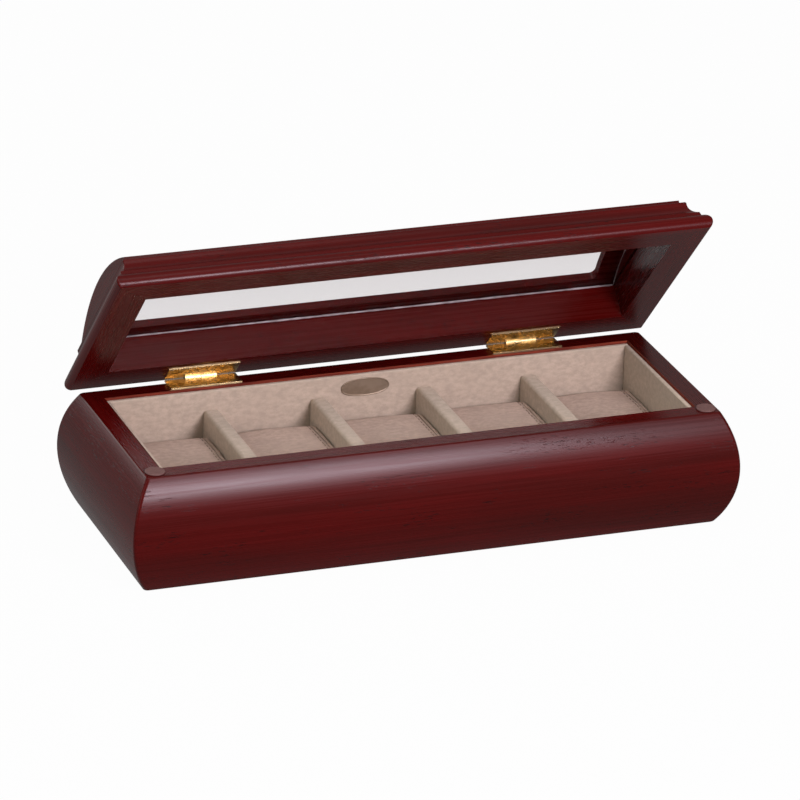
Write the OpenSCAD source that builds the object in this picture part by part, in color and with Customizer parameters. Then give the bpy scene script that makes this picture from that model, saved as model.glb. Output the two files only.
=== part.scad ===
// Wooden watch display box with bombe sides, a moulded lid with an arched window,
// a lined tray with five compartments and five lift-out pillows.
// Millimetres. X runs along the box, Y to the back, Z up.
// The origin is the centre of the underside. The lid is drawn part open.

/* [Case] */
// Length of the rim, outside
case_l = 305; // [240:1:380]
// Depth of the rim, front to back, outside
case_d = 110; // [100:1:130]
// Height of the case without the lid
case_h = 61; // [54:1:72]
// Width of the flat rim
rim_w = 10; // [9:0.5:12]
// How far the sides swell past the rim
swell = 9.1; // [4:0.1:14]
// Rounding of the rim's outer edge
rim_round = 1.2; // [0.5:0.1:2]
// Rounding of the foot's outer edge
foot_round = 1.8; // [0.5:0.1:3]

/* [Bottom] */
// Thickness of the bottom board
board_t = 5; // [3:0.5:8]
// Depth of the rebate that holds the board
rebate = 4; // [2:0.5:6]
// Thickness of the felt under the board
felt_t = 0.8; // [0.6:0.1:1.5]

/* [Lining] */
// Thickness of the covered side boards
lining_t = 2.5; // [1.5:0.5:3.5]
// Thickness of the covered floor board
lining_floor_t = 2; // [1:0.5:3]
// Bare wood left above the lining
lining_drop = 1.3; // [0.5:0.1:4]
// Width of the oval plate on the back lining
plate_w = 26; // [16:1:40]
// Height of the oval plate
plate_h = 9.6; // [6:0.2:11]
// Thickness of the oval plate
plate_t = 0.8; // [0.6:0.1:1.5]
// Place of the oval plate along the box
plate_x = -3.5; // [-8:0.5:8]
// Distance from the rim down to the plate's middle
plate_drop = 8.3; // [7:0.1:9]

/* [Compartments] */
// Thickness of a divider
divider_t = 8; // [5:0.5:10]
// Distance from the rim down to a divider's top
divider_drop = 12.5; // [10:0.5:20]

/* [Pillows] */
// Space between a pillow and the dividers beside it
pillow_side = 2.8; // [0.8:0.1:6]
// Space between a pillow and the lining in front of it and behind it
pillow_end = 3; // [0.8:0.1:8]
// Distance from the rim down to the pillows' tops
pillow_drop = 20; // [16:0.5:30]
// Depth of the sewn line near each side
seam_depth = 0.7; // [0.3:0.1:1.2]
// Distance of the sewn line from the side
seam_in = 3.2; // [2.8:0.1:5]

/* [Lid] */
// Overhang of the lid past the rim
overhang = 3.4; // [2:0.1:4.5]
// Width of the lid's frame
frame_w = 16; // [14:0.5:20]
// Height of the frame's moulding
frame_h = 19.6; // [18:0.2:22]
// Set-back of the crown from the frame's edge
crown_in = 9.8; // [9:0.2:12]
// Height of the crown's edge over the moulding
crown_edge = 2.2; // [1.5:0.1:4]
// Rise of the crown, front to back
crown_rise = 10.5; // [6:0.5:14]
// Thickness of the arched panel
panel_t = 4.5; // [3:0.1:5]
// Wood left between the window and the frame's inner face
window_in = 9; // [6:0.5:16]
// Corner radius of the window
window_r = 5; // [2:0.5:10]
// Thickness of the clear pane
pane_t = 1.5; // [1:0.1:2.5]
// Size of the bead of sealant round the pane
seal_w = 1.5; // [1:0.1:2.5]
// Opening angle of the lid as drawn
lid_open = 47.5; // [0:0.5:95]

/* [Hinges] */
// Width of a hinge leaf
leaf_w = 38; // [32:1:50]
// Thickness of a hinge leaf
leaf_t = 1; // [0.8:0.1:1.4]
// Depth that a leaf is let into the wood
leaf_let = 0.5; // [0.3:0.1:0.6]
// Distance between the hinge centres
hinge_span = 175; // [120:1:185]
// Outer radius of a knuckle
knuckle_r = 1.9; // [1.6:0.1:2.3]
// Length of a knuckle
knuckle_l = 8.4; // [6:0.2:12]
// Radius of the hinge pin
pin_r = 0.95; // [0.8:0.05:1.1]
// Distance from the rim's edge back to the pin
pin_out = 3; // [2.8:0.1:4]
// Distance between a leaf's two screws
screw_span = 26; // [24:1:27]
// Radius of a screw's head
screw_head_r = 2; // [1.6:0.1:2.2]
// Radius of a screw's shank
screw_r = 1.1; // [0.9:0.1:1.3]
// Length of a screw
screw_l = 7.5; // [6:0.5:10]

/* [Bumpers] */
// Radius of a bumper
bumper_r = 5; // [3:0.1:5]
// Thickness of a bumper
bumper_t = 0.9; // [0.5:0.1:1]

/* [Hidden] */
$fn = 96;
dividers = 4;

// Clearances
board_gap = 0.2;
soft_gap = 0.3;
leaf_gap = 0.05;
pin_gap = 0.05;
knuckle_gap = 0.2;
hinge_relief = 0.3;
screw_gap = 0.05;
glue_gap = 0.1;
// How far a cutting shape runs past what it cuts
past = 1;

// Stains, cloths and metals
mahogany = [0.36, 0.05, 0.05];
suede = [0.77, 0.70, 0.64];
felt = [0.20, 0.18, 0.17];
brass = [0.83, 0.66, 0.30];
rose = [0.48, 0.33, 0.31];
clear = [0.85, 0.90, 0.92, 0.35];

// Half sizes of the case, outside and inside
half_l = case_l / 2;
half_d = case_d / 2;
in_l = half_l - rim_w;
in_d = half_d - rim_w;
// Radius of the swelling side, whose arc meets the rim and the foot
side_r = (case_h * case_h / 4 + swell * swell) / (2 * swell);
side_x = rim_w + swell - side_r;

// Heights from the underside up
board_top = felt_t + board_t;
floor_top = board_top + lining_floor_t;
lining_top = case_h - lining_drop;
divider_top = case_h - divider_drop;

// The lined room and its compartments
room_l = in_l - lining_t;
room_d = in_d - lining_t;
cell_w = (2 * room_l - dividers * divider_t) / (dividers + 1);
cell_pitch = cell_w + divider_t;

// The pillow in its compartment
pillow_w = cell_w - 2 * pillow_side;
pillow_l = 2 * room_d - 2 * pillow_end;
pillow_foot = floor_top + soft_gap;
foot_share = 0.94;
pillow_h = 2 * (case_h - pillow_drop - pillow_foot) / (1 + foot_share);

// The hinge line, and the lid's underside when shut
pin_y = half_d + pin_out;
pin_z = case_h - leaf_let + leaf_t + leaf_gap;
lid_z = pin_z + leaf_gap + leaf_t - leaf_let;
leaf_front = in_d + 1.5;
leaf_back = pin_y - knuckle_r - knuckle_gap;
screw_y = (leaf_front + half_d) / 2;

// The lid's outline, outside and inside its frame
lid_l = half_l + overhang;
lid_d = half_d + overhang;
lid_in_l = lid_l - frame_w;
lid_in_d = lid_d - frame_w;
// The arch of the crown, measured from the lid's underside
crown_l = lid_l - crown_in;
crown_d = lid_d - crown_in;
arch_r = (crown_d * crown_d + crown_rise * crown_rise) / (2 * crown_rise);
arch_z = frame_h + crown_edge + crown_rise - arch_r;
panel_r = arch_r - panel_t;
pane_r = panel_r - glue_gap;
seal_r = pane_r - pane_t;
window_l = lid_in_l - window_in;
window_d = lid_in_d - window_in;

// The moulding, from the frame's outer edge inwards and from its underside up
bead_r = 4.6;
bead_out = 1;
bead_z = 3.6;
bead_top = 7.8;
fillet_in = 2.1;
cove_r = 8.6;
cove_out = 1.5;
cove_drop = 1.8;
nose_r = 1.1;
nose_in = 8.1;

// A pillow's outline: an oval with squared corners, drawn with this many points
oval_points = 36;
oval_power = 4;

// Places

// Turns the lid about the hinge line, from shut to its open angle
module on_lid() {
    translate([0, pin_y, pin_z])
        rotate([-lid_open, 0, 0])
            translate([0, -pin_y, -pin_z])
                children();
}

// Puts a shape on the lid's frame, whose underside is at height 0
module on_frame() {
    on_lid() translate([0, 0, lid_z]) children();
}

module at_screws(side) {
    for (end = [-1, 1])
        translate([side * hinge_span / 2 + end * screw_span / 2, screw_y, 0]) children();
}

// Shapes

// Runs a section along the front side, cut to a mitre at both ends.
// The section's x is the distance out from the inner face and its y is the height.
module mitred_side(long, out, width, reach, high) {
    intersection() {
        translate([-long - reach, -out + width, 0])
            rotate([90, 0, 90])
                linear_extrude(2 * (long + reach))
                    mirror([1, 0])
                        children();
        translate([0, 0, -past])
            linear_extrude(high + 2 * past)
                polygon([
                    [-long + width, -out + width],
                    [long - width, -out + width],
                    [long + reach, -out - reach],
                    [-long - reach, -out - reach]
                ]);
    }
}

// What rounds the outer edge of the rim takes off the section
module edge_cut(r) {
    reach = sqrt(pow(side_r - r, 2) - pow(case_h / 2 - r, 2));
    centre = [side_x + reach, case_h - r];
    out = [reach, case_h / 2 - r] * (side_r + 3) / (side_r - r);
    difference() {
        polygon([
            centre,
            [centre[0], case_h + past],
            [rim_w + swell, case_h + past],
            [side_x + out[0], case_h / 2 + out[1]]
        ]);
        translate(centre) circle(r);
    }
}

// A side of the case: flat inside, swelling outside, rebated for the board
module case_section() {
    difference() {
        intersection() {
            translate([side_x, case_h / 2]) circle(side_r, $fn = 180);
            square([rim_w + swell + past, case_h]);
        }
        translate([-past, -past]) square([rebate + past, board_top + past]);
        edge_cut(rim_round);
        translate([0, case_h]) mirror([0, 1]) edge_cut(foot_round);
    }
}

module case_side(long, out) {
    mitred_side(long, out, rim_w, swell + past, case_h) case_section();
}

// The lid's moulding: a bead, a fillet, a cove and a nose under the crown
module frame_section() {
    difference() {
        union() {
            square([frame_w - fillet_in, frame_h - nose_r]);
            square([frame_w - nose_in, frame_h]);
            translate([frame_w - nose_in, frame_h - nose_r]) circle(nose_r);
            intersection() {
                translate([frame_w + bead_out - bead_r, bead_z]) circle(bead_r);
                square([frame_w + bead_out, bead_top]);
            }
        }
        translate([frame_w + cove_out, frame_h - cove_drop]) circle(cove_r);
    }
}

module frame_side(long, out) {
    mitred_side(long, out, frame_w, bead_out + past, frame_h) frame_section();
}

// A strip of the arch between two radii, over the given half length and half depth
module arch_slab(outer, inner, long, deep) {
    rotate([90, 0, 90])
        linear_extrude(2 * long, center = true)
            intersection() {
                translate([0, arch_z])
                    difference() {
                        circle(outer, $fn = 240);
                        circle(inner, $fn = 240);
                    }
                translate([-deep, 0]) square([2 * deep, outer]);
            }
}

// The whole arched panel before its window is cut
module panel_blank() {
    arch_slab(arch_r, panel_r, crown_l, crown_d);
}

module window_cut() {
    for (grow = [[0, window_r], [window_r, 0]])
        translate([-window_l + grow[0], -window_d + grow[1], 0])
            cube([2 * (window_l - grow[0]), 2 * (window_d - grow[1]), arch_r]);
    for (x = [-1, 1], y = [-1, 1])
        translate([x * (window_l - window_r), y * (window_d - window_r), 0])
            cylinder(r = window_r, h = arch_r);
}

module crown_gable(side) {
    middle = (lid_in_l + crown_l) / 2;
    color(mahogany)
        on_frame()
            translate([side * middle, 0, 0])
                rotate([90, 0, 90])
                    linear_extrude(crown_l - lid_in_l, center = true)
                        intersection() {
                            translate([0, arch_z]) circle(panel_r, $fn = 240);
                            translate([-crown_d, frame_h]) square([2 * crown_d, arch_r]);
                        }
}

// A leaf lying under the hinge line, with its knuckle on the given side
module leaf_blank(hand) {
    translate([-leaf_w / 2, leaf_front, -leaf_gap - leaf_t])
        cube([leaf_w, leaf_back - leaf_front, leaf_t]);
    translate([hand > 0 ? knuckle_gap / 2 : -knuckle_l, leaf_front, -leaf_gap - leaf_t])
        cube([knuckle_l - knuckle_gap / 2, pin_y - leaf_front, leaf_t]);
    translate([hand > 0 ? knuckle_gap / 2 : -knuckle_l, pin_y, 0])
        rotate([0, 90, 0])
            cylinder(r = knuckle_r, h = knuckle_l - knuckle_gap / 2);
}

module leaf(side, hand) {
    difference() {
        translate([side * hinge_span / 2, 0, 0]) leaf_blank(hand);
        translate([side * hinge_span / 2 - knuckle_l - past, pin_y, 0])
            rotate([0, 90, 0])
                cylinder(r = pin_r + pin_gap, h = 2 * (knuckle_l + past));
        at_screws(side)
            translate([0, 0, -leaf_gap - leaf_t]) {
                translate([0, 0, -past])
                    cylinder(r = screw_r + screw_gap, h = leaf_t + 2 * past);
                cylinder(r1 = screw_r + screw_gap, r2 = screw_head_r + screw_gap, h = leaf_t);
            }
    }
}

// A countersunk screw standing in its leaf, head up
module screw() {
    difference() {
        union() {
            translate([0, 0, -leaf_t])
                cylinder(r1 = screw_r, r2 = screw_head_r, h = leaf_t);
            translate([0, 0, -screw_l]) cylinder(r = screw_r, h = screw_l - leaf_t / 2);
        }
        for (turn = [0, 90])
            rotate([0, 0, turn])
                cube([screw_head_r * 1.3, screw_r * 0.4, leaf_t], center = true);
    }
}

module leaf_screws() {
    for (side = [-1, 1]) at_screws(side) translate([0, 0, -leaf_gap]) screw();
}

// The room cut in a side for both leaves, their knuckles and their screws
module hinge_cuts() {
    for (side = [-1, 1]) {
        translate([side * hinge_span / 2 - leaf_w / 2 - leaf_gap, leaf_front - leaf_gap,
                -leaf_gap - leaf_t])
            cube([leaf_w + 2 * leaf_gap, pin_out + rim_w, leaf_t + past]);
        translate([side * hinge_span / 2 - knuckle_l - hinge_relief, pin_y, 0])
            rotate([0, 90, 0])
                cylinder(r = knuckle_r + hinge_relief, h = 2 * (knuckle_l + hinge_relief));
        at_screws(side)
            translate([0, 0, -leaf_gap - screw_l - screw_gap])
                cylinder(r = screw_r + screw_gap, h = screw_l);
    }
}

// Turns a shape that lies under the hinge line over, to lie above it on the shut lid
module turned_up() {
    translate([0, 0, pin_z]) mirror([0, 0, 1]) children();
}

module bumper(side) {
    inset = bumper_r + 0.9;
    color(rose)
        translate([side * (half_l - inset), -half_d + inset, case_h])
            cylinder(r = bumper_r, h = bumper_t);
}

module divider(number) {
    x = (number - (dividers + 1) / 2) * cell_pitch;
    r = divider_t / 2;
    color(suede)
        translate([x, 0, 0])
            rotate([90, 0, 0])
                linear_extrude(2 * (room_d - board_gap), center = true) {
                    translate([-r, floor_top]) square([divider_t, divider_top - r - floor_top]);
                    translate([0, divider_top - r]) circle(r);
                }
}

module lining_side(long, out) {
    translate([-long, -out, floor_top])
        cube([2 * long, lining_t, lining_top - floor_top]);
}

// The pillow's outline at one station: [distance along, share of full size, sunk by]
function squared(v) = sign(v) * pow(abs(v), 2 / oval_power);
function outline(station) = [
    for (i = [0:oval_points - 1])
        let (a = 360 * i / oval_points,
            y = (pillow_l / 2 * station[1] - station[2]) * squared(cos(a)),
            z = (pillow_h / 2 * station[1] - station[2]) * squared(sin(a)))
        [station[0], y, max(z, -pillow_h / 2 * foot_share)]
];
// Stations from a side's middle, over its edge and the sewn line, to the crown
function half_stations() = let (w = pillow_w / 2) [
    [-w + 0.1, 0.45, 0],
    [-w + 0.6, 0.78, 0],
    [-w + 1.3, 0.90, 0],
    [-w + seam_in - 0.7, 0.955, 0],
    [-w + seam_in, 0.965, seam_depth],
    [-w + seam_in + 0.7, 0.97, 0],
    [-w * 0.55, 0.99, 0],
    [-w * 0.2, 1, 0]
];
function mirrored(list) = [for (i = [len(list) - 1:-1:0]) [-list[i][0], list[i][1], list[i][2]]];

module pillow(number) {
    stations = concat(half_stations(), mirrored(half_stations()));
    rings = len(stations);
    points = concat(
        [for (s = stations) each outline(s)],
        [[-pillow_w / 2, 0, 0], [pillow_w / 2, 0, 0]]
    );
    first_pole = rings * oval_points;
    last_ring = (rings - 1) * oval_points;
    skin = [
        for (r = [0:rings - 2], i = [0:oval_points - 1])
            let (j = (i + 1) % oval_points,
                a = r * oval_points + i, b = r * oval_points + j,
                c = a + oval_points, d = b + oval_points)
            each [[a, d, b], [a, c, d]]
    ];
    caps = [
        for (i = [0:oval_points - 1])
            let (j = (i + 1) % oval_points)
            each [[first_pole, i, j], [first_pole + 1, last_ring + j, last_ring + i]]
    ];
    color(suede)
        translate([(number - (dividers + 2) / 2) * cell_pitch, 0,
                pillow_foot + pillow_h / 2 * foot_share])
            polyhedron(points, concat(skin, caps));
}

// Nodes

module case_front() { color(mahogany) case_side(half_l, half_d); }

module case_back() {
    color(mahogany)
        difference() {
            rotate([0, 0, 180]) case_side(half_l, half_d);
            translate([0, 0, pin_z]) hinge_cuts();
        }
}

module case_left() { color(mahogany) rotate([0, 0, 270]) case_side(half_d, half_l); }
module case_right() { color(mahogany) rotate([0, 0, 90]) case_side(half_d, half_l); }

module bottom_board() {
    reach = rebate - board_gap;
    color("tan")
        translate([-in_l - reach, -in_d - reach, felt_t])
            cube([2 * (in_l + reach), 2 * (in_d + reach), board_t]);
}

module bottom_felt() {
    reach = rebate - 2 * board_gap;
    color(felt)
        translate([-in_l - reach, -in_d - reach, 0])
            cube([2 * (in_l + reach), 2 * (in_d + reach), felt_t]);
}

module lining_front() { color(suede) lining_side(in_l, in_d); }
module lining_back() { color(suede) rotate([0, 0, 180]) lining_side(in_l, in_d); }
module lining_left() { color(suede) rotate([0, 0, 270]) lining_side(room_d, in_l); }
module lining_right() { color(suede) rotate([0, 0, 90]) lining_side(room_d, in_l); }

module lining_floor() {
    color(suede)
        translate([-in_l, -in_d, board_top])
            cube([2 * in_l, 2 * in_d, lining_floor_t]);
}

module divider_1() { divider(1); }
module divider_2() { divider(2); }
module divider_3() { divider(3); }
module divider_4() { divider(4); }

module pillow_1() { pillow(1); }
module pillow_2() { pillow(2); }
module pillow_3() { pillow(3); }
module pillow_4() { pillow(4); }
module pillow_5() { pillow(5); }

module oval_plate() {
    color(brass)
        translate([plate_x, room_d, case_h - plate_drop])
            rotate([90, 0, 0])
                linear_extrude(plate_t)
                    scale([plate_w / plate_h, 1]) circle(d = plate_h, $fn = 64);
}

module bumper_left() { bumper(-1); }
module bumper_right() { bumper(1); }

module hinge_case_leaf(side) { color(brass) translate([0, 0, pin_z]) leaf(side, -1); }
module hinge_lid_leaf(side) { color(brass) on_lid() turned_up() leaf(side, 1); }

module hinge_pin(side) {
    color(brass)
        translate([side * hinge_span / 2 - knuckle_l, pin_y, pin_z])
            rotate([0, 90, 0])
                cylinder(r = pin_r, h = 2 * knuckle_l);
}

module hinge_left_case_leaf() { hinge_case_leaf(-1); }
module hinge_left_lid_leaf() { hinge_lid_leaf(-1); }
module hinge_left_pin() { hinge_pin(-1); }
module hinge_right_case_leaf() { hinge_case_leaf(1); }
module hinge_right_lid_leaf() { hinge_lid_leaf(1); }
module hinge_right_pin() { hinge_pin(1); }

module case_leaf_screws() { color(brass) translate([0, 0, pin_z]) leaf_screws(); }
module lid_leaf_screws() { color(brass) on_lid() turned_up() leaf_screws(); }

module lid_front_rail() {
    color(mahogany)
        on_frame() difference() {
            frame_side(lid_l, lid_d);
            panel_blank();
        }
}

module lid_back_rail() {
    color(mahogany)
        on_lid() difference() {
            translate([0, 0, lid_z])
                difference() {
                    rotate([0, 0, 180]) frame_side(lid_l, lid_d);
                    panel_blank();
                }
            turned_up() hinge_cuts();
        }
}

module lid_end_rail(turn) {
    color(mahogany)
        on_frame() difference() {
            rotate([0, 0, turn]) frame_side(lid_d, lid_l);
            panel_blank();
        }
}

module lid_left_rail() { lid_end_rail(270); }
module lid_right_rail() { lid_end_rail(90); }

module crown_panel() {
    color(mahogany)
        on_frame() difference() {
            panel_blank();
            window_cut();
        }
}

module crown_gable_left() { crown_gable(-1); }
module crown_gable_right() { crown_gable(1); }

module window_pane() {
    color(clear)
        on_frame() arch_slab(pane_r, seal_r, lid_in_l - glue_gap, lid_in_d - glue_gap);
}

module pane_seal() {
    color("gainsboro")
        on_frame() difference() {
            arch_slab(seal_r, seal_r - seal_w, lid_in_l, lid_in_d);
            translate([-lid_in_l + seal_w, -lid_in_d + seal_w, 0])
                cube([2 * (lid_in_l - seal_w), 2 * (lid_in_d - seal_w), arch_r]);
        }
}

case_front();
case_back();
case_left();
case_right();
bottom_board();
bottom_felt();
lining_front();
lining_back();
lining_left();
lining_right();
lining_floor();
divider_1();
divider_2();
divider_3();
divider_4();
pillow_1();
pillow_2();
pillow_3();
pillow_4();
pillow_5();
oval_plate();
bumper_left();
bumper_right();
hinge_left_case_leaf();
hinge_left_lid_leaf();
hinge_left_pin();
hinge_right_case_leaf();
hinge_right_lid_leaf();
hinge_right_pin();
case_leaf_screws();
lid_leaf_screws();
lid_front_rail();
lid_back_rail();
lid_left_rail();
lid_right_rail();
crown_panel();
crown_gable_left();
crown_gable_right();
window_pane();
pane_seal();
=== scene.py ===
"""A watch display box: its visible pieces, finishes and studio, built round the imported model."""

import math

import bmesh
import bpy
from mathutils import Matrix, Vector, noise
from mathutils.bvhtree import BVHTree


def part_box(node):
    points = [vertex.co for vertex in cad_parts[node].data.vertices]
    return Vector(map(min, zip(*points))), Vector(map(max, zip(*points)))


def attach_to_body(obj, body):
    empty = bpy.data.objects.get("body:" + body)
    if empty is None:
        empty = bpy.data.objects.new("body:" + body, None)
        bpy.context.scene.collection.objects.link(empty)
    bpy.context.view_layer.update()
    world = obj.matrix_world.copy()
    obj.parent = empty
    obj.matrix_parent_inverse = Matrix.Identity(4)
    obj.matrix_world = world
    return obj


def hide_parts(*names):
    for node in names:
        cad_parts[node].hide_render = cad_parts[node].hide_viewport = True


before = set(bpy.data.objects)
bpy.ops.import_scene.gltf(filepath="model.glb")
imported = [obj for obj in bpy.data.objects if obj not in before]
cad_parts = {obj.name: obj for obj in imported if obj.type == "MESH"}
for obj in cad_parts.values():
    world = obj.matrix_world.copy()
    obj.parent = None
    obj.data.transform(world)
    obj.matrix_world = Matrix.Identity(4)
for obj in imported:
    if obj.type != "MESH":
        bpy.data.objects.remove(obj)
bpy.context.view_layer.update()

bl_info = {
    "name": "Watch Display Box",
    "version": (1, 0, 0),
    "blender": (4, 5, 0),
    "location": "3D View > Sidebar > Watch Box",
    "description": "Builds the walls, lining, pillows, hinges and lid of a watch display box",
    "category": "Object",
}

MM = 0.001
QUARTER = math.pi / 2
# Points that are closer than this are one point
TOUCHING = 1e-6


def about(point, angle, axis):
    """A turn about the line that runs along an axis through a point."""
    there, back = Matrix.Translation(point), Matrix.Translation(-Vector(point))
    return there @ Matrix.Rotation(angle, 4, axis) @ back


# The case, in metres, as in the part's source
HALF_LONG, HALF_DEEP = 152.5 * MM, 55 * MM
RIM, SWELL, HIGH = 10 * MM, 9.1 * MM, 61 * MM
REBATE, BOARD_TOP = 4 * MM, 5.8 * MM
CELL_PITCH = 57.6 * MM
DIVIDER_RISE = 1.1 * MM
# Under 1, the oval plate is fuller than an ellipse
PLATE_FULLNESS = 0.86

# The lid, shut, with heights from its underside
LID_LONG, LID_DEEP, FRAME = 157.0 * MM, 59.2 * MM, 17.1 * MM
LID_IN_LONG, LID_IN_DEEP = LID_LONG - FRAME, LID_DEEP - FRAME
BACK_EDGE = 1.1 * MM
CROWN_LONG, CROWN_DEEP, CROWN_STRETCH = 147.8 * MM, 48.2 * MM, 1.7 * MM
CROWN_BACK = 2.4 * MM
ARCH_R, PANEL_R, SEAL_R, ARCH_Z = 117.1 * MM, 113.22 * MM, 111.6 * MM, -85.42 * MM
WINDOW_LONG, WINDOW_DEEP, WINDOW_ROUND = 129.2 * MM, 37.4 * MM, 3 * MM

# The lid's place: it turns back about the hinge pins
PIN_Y, PIN_Z, LID_Z = 58 * MM, 61.55 * MM, 62.1 * MM
LID_OPEN = math.radians(47.5)
TURNED = about((0, PIN_Y, PIN_Z), -LID_OPEN, "X")
ON_FRAME = TURNED @ Matrix.Translation((0, 0, LID_Z))

# The hinges
HINGE_X, LEAF_HALF, LEAF_FRONT = 87.5 * MM, 19.05 * MM, 46.45 * MM
KNUCKLE_REACH, KNUCKLE_R, LEAF_BACK = 8.7 * MM, 2.2 * MM, 55.9 * MM
PIN_GAP = 0.25 * MM

# The pillows. Sewn wider than the foam in them, they nearly fill their places
PILLOW_HALF, PILLOW_SHORTER, PILLOW_LOWER = 24.3 * MM, 2 * MM, 0.8 * MM
SEAM_IN, SEAM_DEEP, SEAM_WIDE = 2.4 * MM, 1.1 * MM, 0.42 * MM
STITCH_IN, STITCH_DEEP, STITCH_WIDE = 2.0 * MM, 0.22 * MM, 0.5 * MM
# Rows of faces across a seam, from its middle
SEAM_ROWS = [step * MM for step in (-1.2, -0.7, -0.35, 0, 0.35, 0.7, 1.2)]
# How wide and how deep: two sizes of dent all over, and the folds that run in from the seams
DENTS = ((17 * MM, 0.4 * MM), (6 * MM, 0.12 * MM))
FOLD_WIDE, FOLD_DEEP, FOLD_REACH = 2.4 * MM, 0.3 * MM, 4 * MM
# How far the cloth lies in from the block, and how much further at the sides and the ends
SLACK, LESS_AT_SIDES, LESS_AT_ENDS = 0.25 * MM, 1.0 * MM, 0.5 * MM

SIDES = {"front": (0, -1), "back": (0, 1), "left": (-1, 0), "right": (1, 0)}


def linear(code):
    """An sRGB colour such as "#4c0704" as linear red, green, blue and alpha."""
    parts = [int(code[i : i + 2], 16) / 255 for i in (1, 3, 5)]
    return (*[c / 12.92 if c <= 0.04045 else ((c + 0.055) / 1.055) ** 2.4 for c in parts], 1.0)


def colour(code, title, what):
    """A colour property with its default."""
    return bpy.props.FloatVectorProperty(
        name=title, description=what, subtype="COLOR", size=4, min=0, max=1, default=linear(code)
    )


def length(millimetres, title, what):
    """A length property with its default."""
    return bpy.props.FloatProperty(
        name=title, description=what, unit="LENGTH", subtype="DISTANCE", min=0, precision=5,
        default=millimetres * MM,
    )


class WatchBoxSizes(bpy.types.PropertyGroup):
    """Sizes of the small shapes that finish the pieces"""

    corner_round: length(1.6, "Corner", "Rounding of the case's upright corners")
    lid_corner_round: length(0.7, "Lid corner", "Rounding of the lid's mitred corners")
    crown_round: length(0.6, "Crown", "Rounding of the crown's and the window's edges")
    cloth_round: length(0.9, "Covered boards", "Rounding of the lining's edges")
    divider_round: length(2.0, "Dividers", "Rounding along the dividers' tops")
    leaf_round: length(0.16, "Hinge leaves", "Rounding of the hinge leaves' edges")
    stitch: length(2.7, "Stitch", "Length of a stitch on a pillow")
    stitch_gap: length(0.5, "Stitch gap", "Space between two stitches")
    thread: length(0.6, "Thread", "Thickness of the sewing thread")
    seal: length(1.2, "Sealant", "Width of the bead of sealant round the pane")


class WatchBoxColours(bpy.types.PropertyGroup):
    """Colours of the finishes"""

    wood_dark: colour("#440302", "Wood, dark", "The darker streaks of the stained mahogany")
    wood_light: colour("#4e0504", "Wood, light", "The lighter streaks of the stained mahogany")
    bare_wood: colour("#8a3a26", "Bare wood", "The wood above the lining, stained, not lacquered")
    lining: colour("#bbaa98", "Lining", "The suede cloth on the walls")
    pillow: colour("#b9a191", "Pillows", "The suede cloth on the pillows")
    # The thread's dark tone is partly its own dye and partly painted shade for the sunken seams
    thread: colour("#5a463b", "Thread", "The sewing thread")
    brass: colour("#c3ad80", "Brass", "The polished hinges")
    plate: colour("#a99a88", "Plate", "The oval plate")
    bumper: colour("#5c3d39", "Bumpers", "The pads on the rim")
    pane: colour("#ece9ea", "Pane", "The tint of the clear pane")


# ---------------------------------------------------------------- materials


def feed(material, node, inputs):
    """Sets a node's inputs. Each is a plain value, or what it is linked from: an output, or a node,
    for the first of its outputs that is in use."""
    for name, value in inputs.items():
        if isinstance(value, bpy.types.Node):
            value = next(output for output in value.outputs if output.enabled)
        if isinstance(value, bpy.types.NodeSocket):
            material.node_tree.links.new(value, node.inputs[name])
        else:
            node.inputs[name].default_value = value


def add(material, kind, inputs=None, **settings):
    """Adds a node with its own settings and its inputs."""
    node = material.node_tree.nodes.new(kind)
    for name, value in settings.items():
        setattr(node, name, value)
    feed(material, node, inputs or {})
    return node


def start_material(name):
    """An empty material with its output and its shader, whose inputs are still to be set."""
    material = bpy.data.materials.new(name)
    material.use_nodes = True
    material.node_tree.nodes.clear()
    shader = add(material, "ShaderNodeBsdfPrincipled")
    add(material, "ShaderNodeOutputMaterial", {"Surface": shader})
    return material, shader


def object_coords(material, turn=(0, 0, 0)):
    """The piece's own coordinates, turned so that the grain runs along X."""
    coords = add(material, "ShaderNodeTexCoord").outputs["Object"]
    return add(material, "ShaderNodeMapping", {"Vector": coords, "Rotation": turn})


def pattern(material, coords, along, across, detail=4.0, roughness=0.55):
    """Noise whose marks are as long and as wide as the given sizes in metres."""
    scale = (1 / along, 1 / across, 1 / across)
    place = add(material, "ShaderNodeMapping", {"Vector": coords, "Scale": scale})
    return add(
        material, "ShaderNodeTexNoise",
        {"Vector": place, "Scale": 1.0, "Detail": detail, "Roughness": roughness},
    )


def mottle(material, under, over, marks, low, high, most=1.0):
    """Lays a second colour over a first: none where the marks are under low, and up to the share
    most where they are over high."""
    share = add(
        material, "ShaderNodeMapRange",
        {"Value": marks, "From Min": low, "From Max": high, "To Max": most},
        interpolation_type="SMOOTHSTEP",
    )
    return add(material, "ShaderNodeMix", {0: share, 6: under, 7: over}, data_type="RGBA")


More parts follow.
